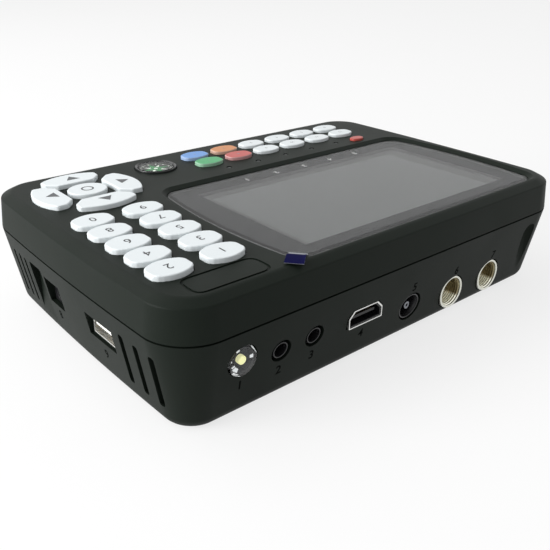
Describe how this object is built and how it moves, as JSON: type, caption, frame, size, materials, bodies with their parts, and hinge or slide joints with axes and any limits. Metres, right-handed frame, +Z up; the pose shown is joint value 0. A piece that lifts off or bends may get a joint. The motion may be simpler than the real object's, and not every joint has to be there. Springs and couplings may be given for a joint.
{
  "type": "satellite signal meter",
  "caption": "Handheld satellite signal meter: flat black case with a large screen, white push keys, a small compass, a lamp and cable sockets along its edges.",
  "frame": {"origin": "centre of the resting face of the case, on the surface that it lies on", "axes": "+Z up out of the screen, +X towards the digit keys on the user's right, +Y towards the edge with the lamp and the antenna sockets"},
  "size_m": [0.182, 0.1226, 0.0442],
  "materials": {
    "case_plastic": "fine sandblast texture, charcoal black",
    "screen_glass": "clear cover lens, black printed border",
    "film": "thin transfer film with a navy pull tab",
    "display_panel": "unlit grey panel",
    "silicone": "moulded silicone sheet",
    "circuit_board": "green solder resist",
    "key_white": "satin white",
    "key_blue": "satin blue",
    "key_orange": "satin orange",
    "key_green": "satin green",
    "key_red": "satin red",
    "clear_plastic": "clear, polished",
    "compass_card": "printed dial card",
    "cable": "flat ribbon",
    "battery_wrap": "shrink wrap",
    "tinned_steel": "tinned sheet",
    "black_plastic": "moulded, black",
    "nickel": "nickel plated brass",
    "bright_steel": "bright plated sheet",
    "lamp_reflector": "pale yellow emitter in a bright cup",
    "screw_steel": "black oxide"
  },
  "bodies": {
    "case": {"rear_housing": "case_plastic", "front_housing": "case_plastic", "screen_glass": "screen_glass", "protective_film": "film", "display_module": "display_panel", "key_membrane": "silicone", "key_board": "circuit_board", "indicator_pipes": "clear_plastic", "compass_capsule": "case_plastic", "compass_lid": "clear_plastic", "main_board": "circuit_board", "ribbon_cable": "cable", "battery_pack": "battery_wrap", "tuner_can": "tinned_steel", "speaker": "black_plastic", "signal_socket_1": "nickel", "signal_socket_2": "nickel", "power_out_jack": "black_plastic", "video_socket": "bright_steel", "audio_jack_1": "black_plastic", "audio_jack_2": "black_plastic", "lamp_lens": "clear_plastic", "lamp_emitter": "lamp_reflector", "power_in_jack": "black_plastic", "data_socket": "bright_steel", "case_screw_1": "screw_steel", "case_screw_2": "screw_steel", "case_screw_3": "screw_steel", "case_screw_4": "screw_steel"},
    "digit_key_1": {"digit_key_1": "key_white"},
    "digit_key_2": {"digit_key_2": "key_white"},
    "digit_key_3": {"digit_key_3": "key_white"},
    "digit_key_4": {"digit_key_4": "key_white"},
    "digit_key_5": {"digit_key_5": "key_white"},
    "digit_key_6": {"digit_key_6": "key_white"},
    "digit_key_7": {"digit_key_7": "key_white"},
    "digit_key_8": {"digit_key_8": "key_white"},
    "digit_key_9": {"digit_key_9": "key_white"},
    "digit_key_0": {"digit_key_0": "key_white"},
    "function_key_1": {"function_key_1": "key_blue"},
    "function_key_2": {"function_key_2": "key_orange"},
    "function_key_3": {"function_key_3": "key_white"},
    "function_key_4": {"function_key_4": "key_white"},
    "function_key_5": {"function_key_5": "key_white"},
    "function_key_6": {"function_key_6": "key_white"},
    "function_key_7": {"function_key_7": "key_green"},
    "function_key_8": {"function_key_8": "key_red"},
    "function_key_9": {"function_key_9": "key_white"},
    "function_key_10": {"function_key_10": "key_white"},
    "function_key_11": {"function_key_11": "key_white"},
    "function_key_12": {"function_key_12": "key_white"},
    "power_key": {"power_key": "key_red"},
    "ok_key": {"ok_key": "key_white"},
    "arrow_key_right": {"arrow_key_right": "key_white"},
    "arrow_key_up": {"arrow_key_up": "key_white"},
    "arrow_key_left": {"arrow_key_left": "key_white"},
    "arrow_key_down": {"arrow_key_down": "key_white"},
    "compass_card": {"compass_card": "compass_card"}
  },
  "joints": [
    {"name": "digit_key_1_press", "type": "slide", "parent": "case", "child": "digit_key_1", "axis": [0, 0, -1], "range_m": [0, 0.0008], "stiffness_N_per_m": 900},
    {"name": "digit_key_2_press", "type": "slide", "parent": "case", "child": "digit_key_2", "axis": [0, 0, -1], "range_m": [0, 0.0008], "stiffness_N_per_m": 900},
    {"name": "digit_key_3_press", "type": "slide", "parent": "case", "child": "digit_key_3", "axis": [0, 0, -1], "range_m": [0, 0.0008], "stiffness_N_per_m": 900},
    {"name": "digit_key_4_press", "type": "slide", "parent": "case", "child": "digit_key_4", "axis": [0, 0, -1], "range_m": [0, 0.0008], "stiffness_N_per_m": 900},
    {"name": "digit_key_5_press", "type": "slide", "parent": "case", "child": "digit_key_5", "axis": [0, 0, -1], "range_m": [0, 0.0008], "stiffness_N_per_m": 900},
    {"name": "digit_key_6_press", "type": "slide", "parent": "case", "child": "digit_key_6", "axis": [0, 0, -1], "range_m": [0, 0.0008], "stiffness_N_per_m": 900},
    {"name": "digit_key_7_press", "type": "slide", "parent": "case", "child": "digit_key_7", "axis": [0, 0, -1], "range_m": [0, 0.0008], "stiffness_N_per_m": 900},
    {"name": "digit_key_8_press", "type": "slide", "parent": "case", "child": "digit_key_8", "axis": [0, 0, -1], "range_m": [0, 0.0008], "stiffness_N_per_m": 900},
    {"name": "digit_key_9_press", "type": "slide", "parent": "case", "child": "digit_key_9", "axis": [0, 0, -1], "range_m": [0, 0.0008], "stiffness_N_per_m": 900},
    {"name": "digit_key_0_press", "type": "slide", "parent": "case", "child": "digit_key_0", "axis": [0, 0, -1], "range_m": [0, 0.0008], "stiffness_N_per_m": 900},
    {"name": "function_key_1_press", "type": "slide", "parent": "case", "child": "function_key_1", "axis": [0, 0, -1], "range_m": [0, 0.0008], "stiffness_N_per_m": 900},
    {"name": "function_key_2_press", "type": "slide", "parent": "case", "child": "function_key_2", "axis": [0, 0, -1], "range_m": [0, 0.0008], "stiffness_N_per_m": 900},
    {"name": "function_key_3_press", "type": "slide", "parent": "case", "child": "function_key_3", "axis": [0, 0, -1], "range_m": [0, 0.0008], "stiffness_N_per_m": 900},
    {"name": "function_key_4_press", "type": "slide", "parent": "case", "child": "function_key_4", "axis": [0, 0, -1], "range_m": [0, 0.0008], "stiffness_N_per_m": 900},
    {"name": "function_key_5_press", "type": "slide", "parent": "case", "child": "function_key_5", "axis": [0, 0, -1], "range_m": [0, 0.0008], "stiffness_N_per_m": 900},
    {"name": "function_key_6_press", "type": "slide", "parent": "case", "child": "function_key_6", "axis": [0, 0, -1], "range_m": [0, 0.0008], "stiffness_N_per_m": 900},
    {"name": "function_key_7_press", "type": "slide", "parent": "case", "child": "function_key_7", "axis": [0, 0, -1], "range_m": [0, 0.0008], "stiffness_N_per_m": 900},
    {"name": "function_key_8_press", "type": "slide", "parent": "case", "child": "function_key_8", "axis": [0, 0, -1], "range_m": [0, 0.0008], "stiffness_N_per_m": 900},
    {"name": "function_key_9_press", "type": "slide", "parent": "case", "child": "function_key_9", "axis": [0, 0, -1], "range_m": [0, 0.0008], "stiffness_N_per_m": 900},
    {"name": "function_key_10_press", "type": "slide", "parent": "case", "child": "function_key_10", "axis": [0, 0, -1], "range_m": [0, 0.0008], "stiffness_N_per_m": 900},
    {"name": "function_key_11_press", "type": "slide", "parent": "case", "child": "function_key_11", "axis": [0, 0, -1], "range_m": [0, 0.0008], "stiffness_N_per_m": 900},
    {"name": "function_key_12_press", "type": "slide", "parent": "case", "child": "function_key_12", "axis": [0, 0, -1], "range_m": [0, 0.0008], "stiffness_N_per_m": 900},
    {"name": "power_key_press", "type": "slide", "parent": "case", "child": "power_key", "axis": [0, 0, -1], "range_m": [0, 0.0008], "stiffness_N_per_m": 900},
    {"name": "ok_key_press", "type": "slide", "parent": "case", "child": "ok_key", "axis": [0, 0, -1], "range_m": [0, 0.0008], "stiffness_N_per_m": 900},
    {"name": "arrow_key_right_press", "type": "slide", "parent": "case", "child": "arrow_key_right", "axis": [0, 0, -1], "range_m": [0, 0.0008], "stiffness_N_per_m": 900},
    {"name": "arrow_key_up_press", "type": "slide", "parent": "case", "child": "arrow_key_up", "axis": [0, 0, -1], "range_m": [0, 0.0008], "stiffness_N_per_m": 900},
    {"name": "arrow_key_left_press", "type": "slide", "parent": "case", "child": "arrow_key_left", "axis": [0, 0, -1], "range_m": [0, 0.0008], "stiffness_N_per_m": 900},
    {"name": "arrow_key_down_press", "type": "slide", "parent": "case", "child": "arrow_key_down", "axis": [0, 0, -1], "range_m": [0, 0.0008], "stiffness_N_per_m": 900},
    {"name": "compass_card_turn", "type": "hinge", "parent": "case", "child": "compass_card", "pos_m": [0.0301, -0.0431, 0.0405], "axis": [0, 0, 1], "continuous": true}
  ]
}
